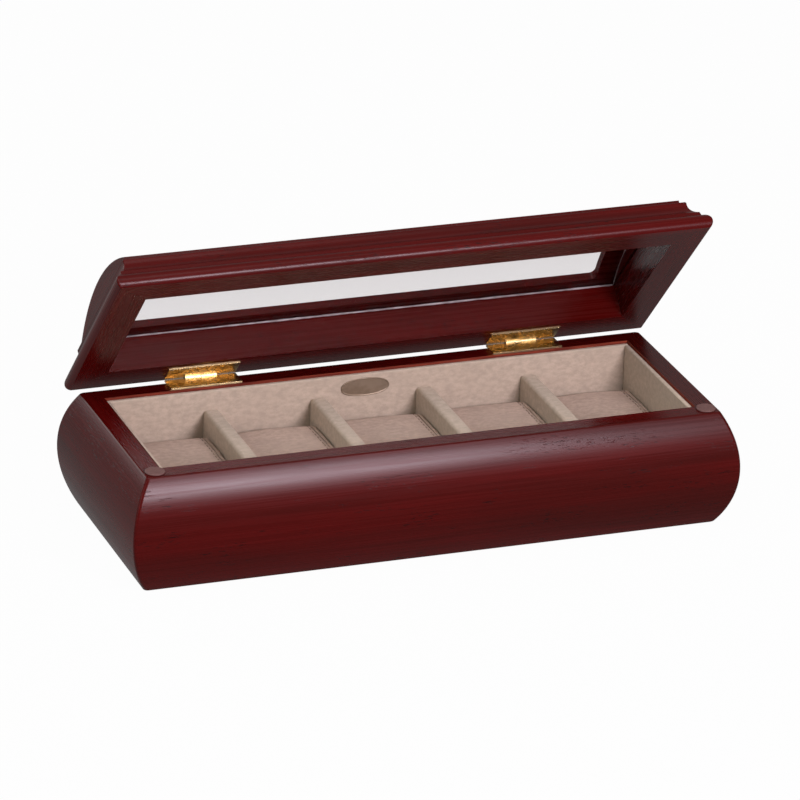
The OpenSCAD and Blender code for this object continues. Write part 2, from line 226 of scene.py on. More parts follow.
def mahogany(name, turn=(0, 0, 0)):
    """Mahogany, stained dark red and sprayed with satin lacquer.

    The stain hides most of the figure. What the eye sees is deep red streaks along the grain, short
    dark pores that the lacquer doesn't fill, and a soft sheen where a light mirrors in it."""
    colours = bpy.context.scene.watch_box_colours
    material, shader = start_material(name)
    coords = object_coords(material, turn)
    # Pores are 0.1 mm wide in the wood; they are drawn 0.45 mm wide, the finest that shows. They
    # lie in places
    streaks, pores, places = (
        add(
            material, "ShaderNodeMapRange",
            {"Value": pattern(material, coords, *marks), "From Min": low, "From Max": high},
            interpolation_type="SMOOTHSTEP",
        )
        for marks, low, high in (
            ((130 * MM, 1.7 * MM, 6, 0.65), 0.3, 0.72),
            ((4.5 * MM, 0.45 * MM, 2), 0.6, 0.66),
            ((40 * MM, 8 * MM, 2), 0.52, 0.62),
        )
    )
    pits = add(material, "ShaderNodeMath", {0: pores, 1: places}, operation="MULTIPLY")
    tint = add(
        material, "ShaderNodeMix", {0: streaks, 6: colours.wood_dark, 7: colours.wood_light},
        data_type="RGBA",
    )
    bands = pattern(material, coords, 260 * MM, 22 * MM, 3)
    tint = mottle(material, tint, linear("#2c0805"), bands, 0.38, 0.66, 0.55)
    tint = add(
        material, "ShaderNodeMix", {0: pits, 6: tint, 7: linear("#1d0303")}, data_type="RGBA"
    )
    ripple = pattern(material, coords, 30 * MM, 1.1 * MM, 3)
    fine = add(
        material, "ShaderNodeBump", {"Strength": 0.008, "Distance": 0.2 * MM, "Height": ripple}
    )
    bump = add(
        material, "ShaderNodeBump",
        {"Strength": 0.28, "Distance": 0.12 * MM, "Height": pits, "Normal": fine}, invert=True,
    )
    rough = add(
        material, "ShaderNodeMapRange", {"Value": streaks, "To Min": 0.25, "To Max": 0.31},
        interpolation_type="SMOOTHSTEP",
    )
    feed(
        material, shader,
        {"Base Color": tint, "Roughness": rough, "Specular IOR Level": 0.16, "Normal": bump},
    )
    return material


def bare_mahogany(name, tone):
    """Mahogany, stained and left without lacquer: dull and more orange, with its grain open."""
    material, shader = start_material(name)
    grain = pattern(material, object_coords(material), 20 * MM, 0.8 * MM)
    tint = mottle(material, linear("#5a1c12"), tone, grain, 0.3, 0.7)
    feed(material, shader, {"Base Color": tint, "Roughness": 0.7, "Specular IOR Level": 0.2})
    return material


def suede(name, tone, nap, contrast):
    """Suede cloth, a brushed polyester with a short nap, glued over board or sewn round foam.

    Strokes of the nap lie in different ways, so it is mottled light and dark, with a faint sheen.
    nap is the size of a stroke in metres."""
    material, shader = start_material(name)
    coords = object_coords(material)
    strokes = pattern(material, coords, nap, nap * 0.6, 5, 0.65)
    patches = pattern(material, coords, nap * 5, nap * 3, 2)
    # A nap's fibres are 0.05 mm apart; they are drawn 0.5 mm apart, the finest that shows
    fibres = pattern(material, coords, 0.6 * MM, 0.5 * MM, 2)
    light = [min(1, c * 1.13) for c in tone[:3]] + [1]
    dark = [c * (1 - 0.3 * contrast) for c in tone[:3]] + [1]
    tint = mottle(material, dark, light, strokes, 0.3, 0.72)
    tint = mottle(material, tint, dark, patches, 0.3, 0.7, 0.3)
    tint = mottle(material, tint, dark, fibres, 0.35, 0.75, 0.22)
    low = add(
        material, "ShaderNodeBump", {"Strength": 0.25, "Distance": 0.5 * MM, "Height": strokes}
    )
    bump = add(
        material, "ShaderNodeBump",
        {"Strength": 0.35, "Distance": 0.15 * MM, "Height": fibres, "Normal": low},
    )
    feed(
        material, shader,
        {
            "Base Color": tint, "Roughness": 0.93, "Specular IOR Level": 0.15, "Normal": bump,
            "Sheen Weight": 0.12, "Sheen Roughness": 0.6, "Sheen Tint": linear("#e8dcd2"),
        },
    )
    return material


def sewing_thread(name, tone):
    """Polyester thread, twisted, and darker than the cloth: partly its own dye, partly painted
    shade of the sunken seam that it lies along.
    """
    material, shader = start_material(name)
    twist = pattern(material, object_coords(material), 0.7 * MM, 0.25 * MM, 1)
    tint = mottle(material, tone, linear("#7a6355"), twist, 0.4, 0.6)
    feed(material, shader, {"Base Color": tint, "Roughness": 0.6})
    return material


def brass(name, tone, dull, aged):
    """Brass, stamped or turned, and polished or left to age; smudges and fine scratches dull it."""
    material, shader = start_material(name)
    coords = object_coords(material)
    smudges = pattern(material, coords, 7 * MM, 5 * MM, 3)
    scratches = pattern(material, coords, 12 * MM, 0.3 * MM, 1)
    tint = mottle(material, tone, linear("#6b5434"), smudges, 0.35, 0.7, aged)
    rough = add(
        material, "ShaderNodeMapRange",
        {
            "Value": smudges, "From Min": 0.3, "From Max": 0.7,
            "To Min": dull, "To Max": dull + 0.06,
        },
        interpolation_type="SMOOTHSTEP",
    )
    bump = add(
        material, "ShaderNodeBump", {"Strength": 0.04, "Distance": 0.02 * MM, "Height": scratches}
    )
    feed(
        material, shader,
        {"Base Color": tint, "Metallic": 1.0, "Roughness": rough, "Normal": bump},
    )
    return material


def speckled(name, tone, fleck, size, dullness):
    """A dull material with fine flecks: felt, moulded rubber or plywood across its face."""
    material, shader = start_material(name)
    flecks = pattern(material, object_coords(material), size * 1.6, size, 4)
    tint = mottle(material, tone, fleck, flecks, 0.35, 0.7)
    bump = add(
        material, "ShaderNodeBump", {"Strength": 0.3, "Distance": 0.15 * MM, "Height": flecks}
    )
    feed(material, shader, {"Base Color": tint, "Roughness": dullness, "Normal": bump})
    return material


def clear_acrylic(name, tone):
    """Acrylic sheet, extruded and curved to the arch: clear, hardly tinted, with a hard gloss."""
    material, shader = start_material(name)
    haze = pattern(material, object_coords(material), 60 * MM, 30 * MM, 2)
    rough = add(
        material, "ShaderNodeMapRange",
        {"Value": haze, "From Min": 0.3, "From Max": 0.7, "To Min": 0.01, "To Max": 0.04},
        interpolation_type="SMOOTHSTEP",
    )
    feed(
        material, shader,
        {"Base Color": tone, "Roughness": rough, "IOR": 1.49, "Transmission Weight": 1.0},
    )
    return material


def silicone(name):
    """Silicone sealant, run along the pane's edge by hand: milky and glossy."""
    material, shader = start_material(name)
    cloud = pattern(material, object_coords(material), 6 * MM, 2 * MM, 3)
    tint = mottle(material, linear("#6f6566"), linear("#a39a9c"), cloud, 0.3, 0.7)
    feed(material, shader, {"Base Color": tint, "Roughness": 0.3, "Specular IOR Level": 0.4})
    return material


FINISHES = {}


def finish_of(name):
    """The material of that name, made the first time that it is asked for."""
    colours = bpy.context.scene.watch_box_colours
    makers = {
        "lacquered_mahogany_along_x": (mahogany,),
        "lacquered_mahogany_along_y": (mahogany, (0, 0, QUARTER)),
        "lacquered_mahogany_lid_long": (mahogany, (LID_OPEN, 0, 0)),
        "lacquered_mahogany_lid_end": (mahogany, (LID_OPEN, 0, QUARTER)),
        "bare_stained_mahogany": (bare_mahogany, colours.bare_wood),
        "brushed_suede_lining": (suede, colours.lining, 4.0 * MM, 0.45),
        "brushed_suede_pillow": (suede, colours.pillow, 3.2 * MM, 0.6),
        # Its dark tone is partly painted shade of the sunken seams
        "polyester_sewing_thread": (sewing_thread, colours.thread),
        "polished_brass_sheet": (brass, colours.brass, 0.24, 0.06),
        "turned_brass_screw": (brass, linear("#9c7b45"), 0.3, 0.3),
        "aged_brass_plate": (brass, colours.plate, 0.46, 0.35),
        "moulded_rubber_pad": (speckled, colours.bumper, linear("#6d4c47"), 0.7 * MM, 0.62),
        "pressed_felt": (speckled, linear("#2a2522"), linear("#4a423c"), 0.9 * MM, 0.95),
        "sanded_plywood": (speckled, linear("#b48a5c"), linear("#8e6639"), 2.5 * MM, 0.7),
        "clear_acrylic_sheet": (clear_acrylic, colours.pane),
        "silicone_sealant": (silicone,),
    }
    if name not in FINISHES:
        maker, *details = makers[name]
        FINISHES[name] = maker(name, *details)
    return FINISHES[name]


# ---------------------------------------------------------------- modelling


def take(*objects):
    """Makes these the only selected objects and the first one active."""
    if bpy.context.object and bpy.context.object.mode != "OBJECT":
        close()
    bpy.ops.object.select_all(action="DESELECT")
    for obj in objects:
        obj.select_set(True)
    bpy.context.view_layer.objects.active = objects[0] if objects else None


def edit(obj):
    """Opens a piece in edit mode."""
    take(obj)
    bpy.ops.object.mode_set(mode="EDIT")


def close():
    """Leaves edit mode."""
    bpy.ops.object.mode_set(mode="OBJECT")


def pick_all():
    """In edit mode, selects all of the piece."""
    bpy.ops.mesh.select_all(action="SELECT")


def pick(kind, test):
    """In edit mode, selects the faces, edges or vertices that pass a test, and nothing else."""
    bpy.ops.mesh.select_mode(type=kind)
    bpy.ops.mesh.select_all(action="DESELECT")
    data = bpy.context.edit_object.data
    mesh = bmesh.from_edit_mesh(data)
    for part in {"FACE": mesh.faces, "EDGE": mesh.edges, "VERT": mesh.verts}[kind]:
        if test(part):
            part.select_set(True)
    bmesh.update_edit_mesh(data)


def round_edges(test, width, segments):
    """In edit mode, rounds the edges that pass a test."""
    pick("EDGE", test)
    bpy.ops.mesh.bevel(offset=width, segments=segments, profile=0.5, affect="EDGES")


def outward_normals():
    """In edit mode, turns every face outwards."""
    pick_all()
    bpy.ops.mesh.normals_make_consistent(inside=False)


def modify(obj, kind, **settings):
    """Adds a modifier and applies it."""
    take(obj)
    modifier = obj.modifiers.new(kind.title(), kind)
    for name, value in settings.items():
        setattr(modifier, name, value)
    bpy.ops.object.modifier_apply(modifier=modifier.name)


def ease(obj, width, segments, degrees):
    """Rounds every edge where faces meet at more than an angle."""
    modify(
        obj, "BEVEL", width=width, segments=segments, limit_method="ANGLE",
        angle_limit=math.radians(degrees),
    )


def paint(obj, *names):
    """Gives a piece its finishes; faces keep the number of the one that they wear."""
    obj.data.materials.clear()
    for name in names:
        obj.data.materials.append(finish_of(name))


def smooth(obj, degrees=32):
    """Shades a piece smooth up to an angle, with wide faces kept flat beside rounded edges."""
    take(obj)
    bpy.ops.object.shade_smooth_by_angle(angle=math.radians(degrees))
    modify(obj, "WEIGHTED_NORMAL", keep_sharp=True, weight=60)


def smooth_all_over(obj):
    """Shades a piece without hard edges smooth."""
    for face in obj.data.polygons:
        face.use_smooth = True


def settle(obj):
    """Puts a piece's place, turn and scale in its mesh."""
    take(obj)
    bpy.ops.object.transform_apply(location=True, rotation=True, scale=True)


def place(obj, matrix):
    """Moves a piece to where it belongs, with its place in its mesh."""
    obj.matrix_world = matrix @ obj.matrix_world
    settle(obj)


def attach(obj, body, slot, *nodes):
    """The piece rides on its body and stands in for its CAD nodes, which are hidden; slot is not
    used.
    """
    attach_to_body(obj, body)
    if nodes:
        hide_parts(*nodes)


def copy_of(source, name):
    """A copy with its own mesh, on no body."""
    obj = bpy.data.objects.new(name, source.data.copy())
    bpy.context.scene.collection.objects.link(obj)
    return obj


def eased(node, name, width=0.0, segments=3, reshape=None):
    """A copy of a CAD node with its triangles merged to whole faces and its edges rounded.
    reshape, if given, runs in edit mode before the rounding."""
    obj = copy_of(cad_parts[node], name)
    edit(obj)
    pick_all()
    bpy.ops.mesh.customdata_custom_splitnormals_clear()
    bpy.ops.mesh.remove_doubles(threshold=2 * TOUCHING)
    bpy.ops.mesh.dissolve_limited(angle_limit=math.radians(1))
    if reshape:
        reshape()
    close()
    if width:
        ease(obj, width, segments, 35)
    smooth(obj)
    return obj


def arc(centre, radius, first, last, steps):
    """Points along an arc, from one angle to another."""
    turns = [first + (last - first) * i / steps for i in range(steps + 1)]
    return [(centre[0] + radius * math.cos(t), centre[1] + radius * math.sin(t)) for t in turns]


def wall_section():
    """A wall's outline, outwards from its inner face: rebate, rounded foot, swelling side, rim."""
    radius = (HIGH**2 / 4 + SWELL**2) / (2 * SWELL)
    middle = RIM + SWELL - radius

    def rounding(r):
        reach = math.sqrt((radius - r) ** 2 - (HIGH / 2 - r) ** 2)
        return middle + reach, math.atan2(HIGH / 2 - r, reach)

    foot, rim = 1.8 * MM, 1.2 * MM
    foot_x, foot_turn = rounding(foot)
    rim_x, rim_turn = rounding(rim)
    points = [(REBATE, 0)]
    points += arc((foot_x, foot), foot, -QUARTER, -foot_turn, 5)
    points += arc((middle, HIGH / 2), radius, -foot_turn, rim_turn, 30)[1:]
    points += arc((rim_x, HIGH - rim), rim, rim_turn, QUARTER, 5)[1:]
    return points + [(0, HIGH), (0, BOARD_TOP), (REBATE, BOARD_TOP)]


def frame_section():
    """A lid rail's outline, outwards from its inner face: bead, fillet, cove and nose."""
    angle = math.radians
    high = 18.6 * MM
    bead = arc((13.5 * MM, 3.6 * MM), 4.6 * MM, angle(-51.5), angle(65.9), 14)
    fillet = (14.6 * MM, 7.8 * MM)
    cove = arc((17.7 * MM, 16.9 * MM), 7.65 * MM, angle(242), angle(172.5), 12)
    nose = arc((9.0 * MM, 17.5 * MM), 1.1 * MM, angle(15.5), QUARTER, 5)
    return [(0, 0), *bead, fillet, *cove, *nose, (0, high)]


def ring(section, half_long, half_deep, width, outer, rounding):
    """Four mitred sides in one: a section is drawn in a corner's mitre, spun in four quarter turns,
    and stretched to the length. Then the corners are rounded, in their outer part."""
    take()
    bpy.ops.mesh.primitive_plane_add(size=MM, location=(0, 0, 0))
    obj = bpy.context.object
    edit(obj)
    bpy.ops.mesh.select_mode(type="VERT")
    pick_all()
    bpy.ops.mesh.merge(type="CENTER")
    corners = [Vector((half_deep - width + x, half_deep - width + x, z)) for x, z in section]
    bpy.ops.transform.translate(value=corners[0])
    for here, there in zip(corners, corners[1:]):
        bpy.ops.mesh.extrude_region_move(TRANSFORM_OT_translate={"value": there - here})
    ends = (corners[0], corners[-1])
    pick("VERT", lambda v: min((v.co - end).length for end in ends) < TOUCHING)
    bpy.ops.mesh.edge_face_add()
    pick_all()
    bpy.ops.mesh.spin(steps=4, angle=4 * QUARTER, center=(0, 0, 0), axis=(0, 0, 1))
    pick_all()
    bpy.ops.mesh.remove_doubles(threshold=TOUCHING)
    outward_normals()
    for side in (-1, 1):
        pick("VERT", lambda v: v.co.x * side > 0)
        bpy.ops.transform.translate(value=(side * (half_long - half_deep), 0, 0))

    def on_outer_corner(edge):
        a, b = (v.co for v in edge.verts)
        return a.x * b.x > 0 and a.y * b.y > 0 and min(abs(a.y), abs(b.y)) > half_deep - outer

    round_edges(on_outer_corner, rounding, 4)
    close()
    return obj


def side_of_ring(source, name, side, half_long, half_deep):
    """One side of a ring, cut out along the mitres at its two ends and closed there."""
    outward = Vector((*SIDES[side], 0))
    along = Vector((abs(outward.y), abs(outward.x), 0))
    reach = half_deep if outward.y else half_long
    run = half_long if outward.y else half_deep
    obj = copy_of(source, name)
    edit(obj)
    corners = [(outward * reach + along * end * run, along * end - outward) for end in (-1, 1)]
    for corner, away in (*corners, (Vector(), -outward)):
        pick_all()
        bpy.ops.mesh.bisect(plane_co=corner, plane_no=away, clear_outer=True, threshold=TOUCHING)
    pick_all()
    bpy.ops.mesh.remove_doubles(threshold=TOUCHING)
    bpy.ops.mesh.fill_holes(sides=0)
    outward_normals()
    close()
    return obj


def cut_hinge_room(obj, pin_height, low, high):
    """Cuts mortises for the leaves, out past the back, and round room for the knuckles."""
    deep = 13 * MM
    take()
    cutters = []
    for side in (-1, 1):
        bpy.ops.mesh.primitive_cube_add(size=1, location=(side * HINGE_X, 0, 0))
        box = bpy.context.object
        box.scale = (2 * LEAF_HALF, deep, high - low)
        box.location.y = LEAF_FRONT + deep / 2
        box.location.z = (low + high) / 2
        bpy.ops.mesh.primitive_cylinder_add(
            vertices=48, radius=KNUCKLE_R, depth=2 * KNUCKLE_REACH, rotation=(0, QUARTER, 0),
            location=(side * HINGE_X, PIN_Y, pin_height),
        )
        cutters += [box, bpy.context.object]
    for cutter in cutters:
        modify(obj, "BOOLEAN", operation="DIFFERENCE", solver="EXACT", object=cutter)
    for cutter in cutters:
        bpy.data.objects.remove(cutter)


# ---------------------------------------------------------------- pieces


class WATCHBOX_OT_case_walls(bpy.types.Operator):
    """Build the four swelling walls, mitred at the corners, with room for the hinges at the back"""

    bl_idname = "watchbox.case_walls"
    bl_label = "Case walls"

    def execute(self, context):
        rounding = context.scene.watch_box_sizes.corner_round
        whole = ring(wall_section(), HALF_LONG, HALF_DEEP, RIM, 1.3 * MM, rounding)
        for side, outward in SIDES.items():
            wall = side_of_ring(whole, f"case_wall_{side}", side, HALF_LONG, HALF_DEEP)
            if side == "back":
                cut_hinge_room(wall, PIN_Z, PIN_Z - 1.05 * MM, HIGH + MM)
            grain = "x" if outward[1] else "y"
            paint(wall, f"lacquered_mahogany_along_{grain}", "bare_stained_mahogany")
            inward = -Vector((*outward, 0))
            for face in wall.data.polygons:
                face.material_index = int(face.normal.dot(inward) > 0.95)
            smooth(wall)
            attach(wall, "case", "mahogany_wood", f"case_{side}")
        bpy.data.objects.remove(whole)
        return {"FINISHED"}


class WATCHBOX_OT_bottom(bpy.types.Operator):
    """Give the bottom board, the felt under it and the covered floor board their finishes"""

    bl_idname = "watchbox.bottom"
    bl_label = "Bottom"

    def execute(self, context):
        for node, finish in (
            ("bottom_board", "sanded_plywood"),
            ("bottom_felt", "pressed_felt"),
            ("lining_floor", "brushed_suede_lining"),
        ):
            paint(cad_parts[node], finish)
        return {"FINISHED"}


class WATCHBOX_OT_linings(bpy.types.Operator):
    """Build the covered boards that line the four walls"""

    bl_idname = "watchbox.linings"
    bl_label = "Linings"

    def execute(self, context):
        width = context.scene.watch_box_sizes.cloth_round
        for side in SIDES:
            board = eased(f"lining_{side}", f"lining_board_{side}", width, 4)
            paint(board, "brushed_suede_lining")
            attach(board, "case", "suede", f"lining_{side}")
        return {"FINISHED"}


class WATCHBOX_OT_dividers(bpy.types.Operator):
    """Build the four covered dividers, with soft edges along their tops"""

    bl_idname = "watchbox.dividers"
    bl_label = "Dividers"

    def execute(self, context):
        width = context.scene.watch_box_sizes.divider_round
        for number in range(1, 5):
            low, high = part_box(f"divider_{number}")
            high.z += DIVIDER_RISE
            take()
            bpy.ops.mesh.primitive_cube_add(size=1, location=(low + high) / 2, scale=high - low)
            board = bpy.context.object
            board.name = f"divider_board_{number}"
            settle(board)
            edit(board)
            round_edges(lambda e: min(v.co.z for v in e.verts) > high.z - MM, width, 5)
            close()
            paint(board, "brushed_suede_lining")
            smooth(board, 40)
            attach(board, "case", "suede", f"divider_{number}")
        return {"FINISHED"}


def pillow_form(low, high):
    """The middle pillow before it is sewn: a block with soft corners, in even faces, with fine rows
    of faces where the sewn lines will sink in."""
    size = high - low
    take()
    bpy.ops.mesh.primitive_cube_add(size=1, location=(low + high) / 2, scale=size)
    form = bpy.context.object
    settle(form)
    edit(form)
    # The long corners, and then the edges round both sides
    round_edges(lambda e: abs(e.verts[0].co.x - e.verts[1].co.x) > MM, 6.5 * MM, 8)
    side_x = size.x / 2 - 0.01 * MM
    round_edges(lambda e: all(abs(v.co.x) > side_x for v in e.verts), 1.8 * MM, 4)
    close()
    modify(form, "REMESH", mode="VOXEL", voxel_size=1.15 * MM)
    modify(form, "SMOOTH", factor=0.5, iterations=3)
    edit(form)
    for side in (-1, 1):
        for row in SEAM_ROWS:
            pick_all()
            seam = side * (size.x / 2 - SEAM_IN + row)
            bpy.ops.mesh.bisect(plane_co=(seam, 0, 0), plane_no=(1, 0, 0), threshold=TOUCHING)
    close()
    return form


def soften(obj, number, middle, half):
    """Shapes the sewn pillow: its panels crown between the seams, the seams sink in, short folds
    run in from them, and dents lie all over."""
    mesh = obj.data
    normals = [n.vector.copy() for n in mesh.vertex_normals]
    for vertex, normal in zip(mesh.vertices, normals):
        place_in = vertex.co - middle
        across, along = abs(place_in.x) / half.x, place_in.y / half.y
        # Each pillow has dents of its own
        p = vertex.co + Vector((0, 0, number * 0.37))
        push = -SLACK
        for wide, deep in DENTS:
            push += noise.noise(p / wide) * deep
        push -= (LESS_AT_SIDES * across**2 + LESS_AT_ENDS * along**2) * abs(normal.z)
        from_seam = (half.x - SEAM_IN) - abs(place_in.x)
        push -= SEAM_DEEP * math.exp(-((from_seam / SEAM_WIDE) ** 2))
        push -= STITCH_DEEP * math.exp(-(((from_seam - STITCH_IN) / STITCH_WIDE) ** 2))
        if from_seam > 0:
            fold = noise.noise(Vector((number, p.y / FOLD_WIDE, p.z / FOLD_WIDE)))
            push += math.exp(-from_seam / FOLD_REACH) * fold * FOLD_DEEP
        vertex.co += normal * push
        vertex.co.z = max(vertex.co.z, middle.z - half.z)


def skin_path(pillow, middle):
    """Points on a pillow's skin all round it, a degree apart, each with its normal."""
    tree = BVHTree.FromObject(pillow, bpy.context.evaluated_depsgraph_get())
    outside = 100 * MM
    path = []
    for degree in range(361):
        turn = math.radians(degree)
        way = Vector((0, math.cos(turn), math.sin(turn)))
        hit, normal, _, _ = tree.ray_cast(middle + way * outside, -way)
        if hit is not None:
            path.append((hit, normal))
    return path


def sew(pillow, number, middle, half, sizes):
    """A row of stitches beside each sewn line, all round the pillow, laid on its skin."""
    reach = half.x - SEAM_IN - STITCH_IN
    # Thread lies a little flatter than it is wide
    stretch = Matrix.Diagonal((sizes.stitch, sizes.thread, sizes.thread * 0.8, 1))
    take()
    bpy.ops.mesh.primitive_uv_sphere_add(segments=6, ring_count=4, radius=0.5)
    model = bpy.context.object
    stitches = []
    for side in (-1, 1):
        path = skin_path(pillow, Vector((middle.x + side * reach, middle.y, middle.z)))
        travelled, following = 0.0, 0.0
        for (a, n), (b, _) in zip(path, path[1:]):
            travelled += (b - a).length
            if travelled < following:
                continue
            following = travelled + sizes.stitch + sizes.stitch_gap
            forward = (b - a).normalized()
            across = forward.cross(n).normalized()
            axes = Matrix((forward, across, across.cross(forward))).transposed().to_4x4()
            stitch = copy_of(model, "stitch")
            stitch.data.transform(Matrix.Translation(a) @ axes @ stretch)
            stitches.append(stitch)
    bpy.data.objects.remove(model)
    take(*stitches)
    bpy.ops.object.join()
    row = bpy.context.object
    row.name = f"pillow_{number}_stitching"
    # The thread's dark tone is partly painted shade of the sunken seam beside it
    paint(row, "polyester_sewing_thread")
    smooth_all_over(row)
    return row


class WATCHBOX_OT_pillows(bpy.types.Operator):
    """Build the five sewn pillows and their stitching"""

    bl_idname = "watchbox.pillows"
    bl_label = "Pillows"

    def execute(self, context):
        low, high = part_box("pillow_3")
        low.x, high.x = -PILLOW_HALF, PILLOW_HALF
        low.y, high.y = low.y + PILLOW_SHORTER, high.y - PILLOW_SHORTER
        high.z -= PILLOW_LOWER
        form = pillow_form(low, high)
        for number in range(1, 6):
            shift = Vector(((number - 3) * CELL_PITCH, 0, 0))
            middle, half = (low + high) / 2 + shift, (high - low) / 2
            pillow = copy_of(form, f"pillow_{number}_cushion")
            pillow.data.transform(Matrix.Translation(shift))
            soften(pillow, number, middle, half)
            paint(pillow, "brushed_suede_pillow")
            smooth_all_over(pillow)
            context.view_layer.update()
            row = sew(pillow, number, middle, half, context.scene.watch_box_sizes)
            attach(pillow, f"pillow_{number}", "pillow_suede", f"pillow_{number}")
            attach(row, f"pillow_{number}", "pillow_suede")
        bpy.data.objects.remove(form)
        return {"FINISHED"}


class WATCHBOX_OT_plate(bpy.types.Operator):
    """Build the bare oval plate on the back lining, with its stepped edge"""

    bl_idname = "watchbox.plate"
    bl_label = "Oval plate"

    def execute(self, context):
        low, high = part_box("oval_plate")
        border, step, width = 0.45 * MM, 0.12 * MM, 0.14 * MM
        take()
        bpy.ops.mesh.primitive_cylinder_add(
            vertices=96, radius=0.5, depth=1, rotation=(QUARTER, 0, 0)
        )
        plate = bpy.context.object
        plate.name = "oval_plate_bare"
        settle(plate)
        for vertex in plate.data.vertices:
            vertex.co.x, vertex.co.z = (
                math.copysign(0.5 * (2 * abs(c)) ** PLATE_FULLNESS, c)
                for c in (vertex.co.x, vertex.co.z)
            )
        place(plate, Matrix.Translation((low + high) / 2) @ Matrix.Diagonal((*(high - low), 1)))
        edit(plate)
        pick("FACE", lambda f: f.normal.y < -0.9)
        bpy.ops.mesh.inset(thickness=border)
        bpy.ops.mesh.inset(thickness=step)
        bpy.ops.transform.translate(value=(0, step, 0))
        close()
        ease(plate, width, 3, 40)
        paint(plate, "aged_brass_plate")
        smooth(plate)
        attach(plate, "case", "aged_brass", "oval_plate")
        return {"FINISHED"}


class WATCHBOX_OT_bumpers(bpy.types.Operator):
    """Build the two pads on the front corners of the rim"""

    bl_idname = "watchbox.bumpers"
    bl_label = "Bumpers"

    def execute(self, context):
        for side in ("left", "right"):
            pad = eased(f"bumper_{side}", f"bumper_pad_{side}", 0.35 * MM, 4)
            paint(pad, "moulded_rubber_pad")
            attach(pad, "case", "bumper_pad", f"bumper_{side}")
        return {"FINISHED"}


class WATCHBOX_OT_hinges(bpy.types.Operator):
    """Build the two butt hinges, each with two leaves, a pin and four screws"""

    bl_idname = "watchbox.hinges"
    bl_label = "Hinges"

    def execute(self, context):
        width = context.scene.watch_box_sizes.leaf_round

        def run_to_pin():
            """The plates reach the pin's line all along, as stamped leaves do."""
            pick("VERT", lambda v: abs(v.co.y - LEAF_BACK) < 0.06 * MM and v.co.z < PIN_Z)
            bpy.ops.transform.translate(value=(0, PIN_Y - PIN_GAP - LEAF_BACK, 0))

        metal = []
        for side, x in (("left", -HINGE_X), ("right", HINGE_X)):
            leaf, pin = f"hinge_{side}_case_leaf", f"hinge_{side}_pin"
            case_leaf = eased(leaf, f"{leaf}_polished", width, 2, run_to_pin)
            lid_leaf = copy_of(case_leaf, f"hinge_{side}_lid_leaf_polished")
            place(lid_leaf, TURNED @ about((x, 0, PIN_Z), math.pi, "Y"))
            metal += [
                (case_leaf, "case", leaf),
                (lid_leaf, "lid", f"hinge_{side}_lid_leaf"),
                (eased(pin, f"{pin}_polished", 0.25 * MM, 2), "case", pin),
            ]
        # The heads lie flush, so that the leaves fold flat on each other
        screws = eased("case_leaf_screws", "case_leaf_screws_turned", 0.2 * MM, 3)
        lid_screws = copy_of(screws, "lid_leaf_screws_turned")
        place(lid_screws, TURNED @ about((0, 0, PIN_Z), math.pi, "Y"))
        metal += [(screws, "case", "case_leaf_screws"), (lid_screws, "lid", "lid_leaf_screws")]
        for piece, body, node in metal:
            turned = node.endswith("screws")
            paint(piece, "turned_brass_screw" if turned else "polished_brass_sheet")
            attach(piece, body, "polished_brass", node)
        return {"FINISHED"}


class WATCHBOX_OT_lid_frame(bpy.types.Operator):
    """Build the lid's four moulded rails, mitred at the corners"""

    bl_idname = "watchbox.lid_frame"
    bl_label = "Lid frame"

    def execute(self, context):
        rounding = context.scene.watch_box_sizes.lid_corner_round
        whole = ring(frame_section(), LID_LONG, LID_DEEP, FRAME, 7.4 * MM, rounding)
        for side, outward in SIDES.items():
            rail = side_of_ring(whole, f"lid_rail_{side}", side, LID_LONG, LID_DEEP)
            edit(rail)
            pick("VERT", lambda v: v.co.y > LID_IN_DEEP + 10 * MM)
            bpy.ops.transform.translate(value=(0, BACK_EDGE, 0))
            close()
            if side == "back":
                cut_hinge_room(rail, PIN_Z - LID_Z, -2 * MM, 0.5 * MM)
            place(rail, ON_FRAME)
            grain = "long" if outward[1] else "end"
            paint(rail, f"lacquered_mahogany_lid_{grain}")
            smooth(rail)
            attach(rail, "lid", "mahogany_wood", f"lid_{side}_rail")
        bpy.data.objects.remove(whole)
        return {"FINISHED"}


def lay_on_arch(panel, radius):
    """In edit mode, moves the selected points up or down to an arch about the lid's middle."""
    mesh = bmesh.from_edit_mesh(panel.data)
    for vertex in mesh.verts:
        if vertex.select:
            vertex.co.z = ARCH_Z + math.sqrt(radius**2 - vertex.co.y**2)
    bmesh.update_edit_mesh(panel.data)


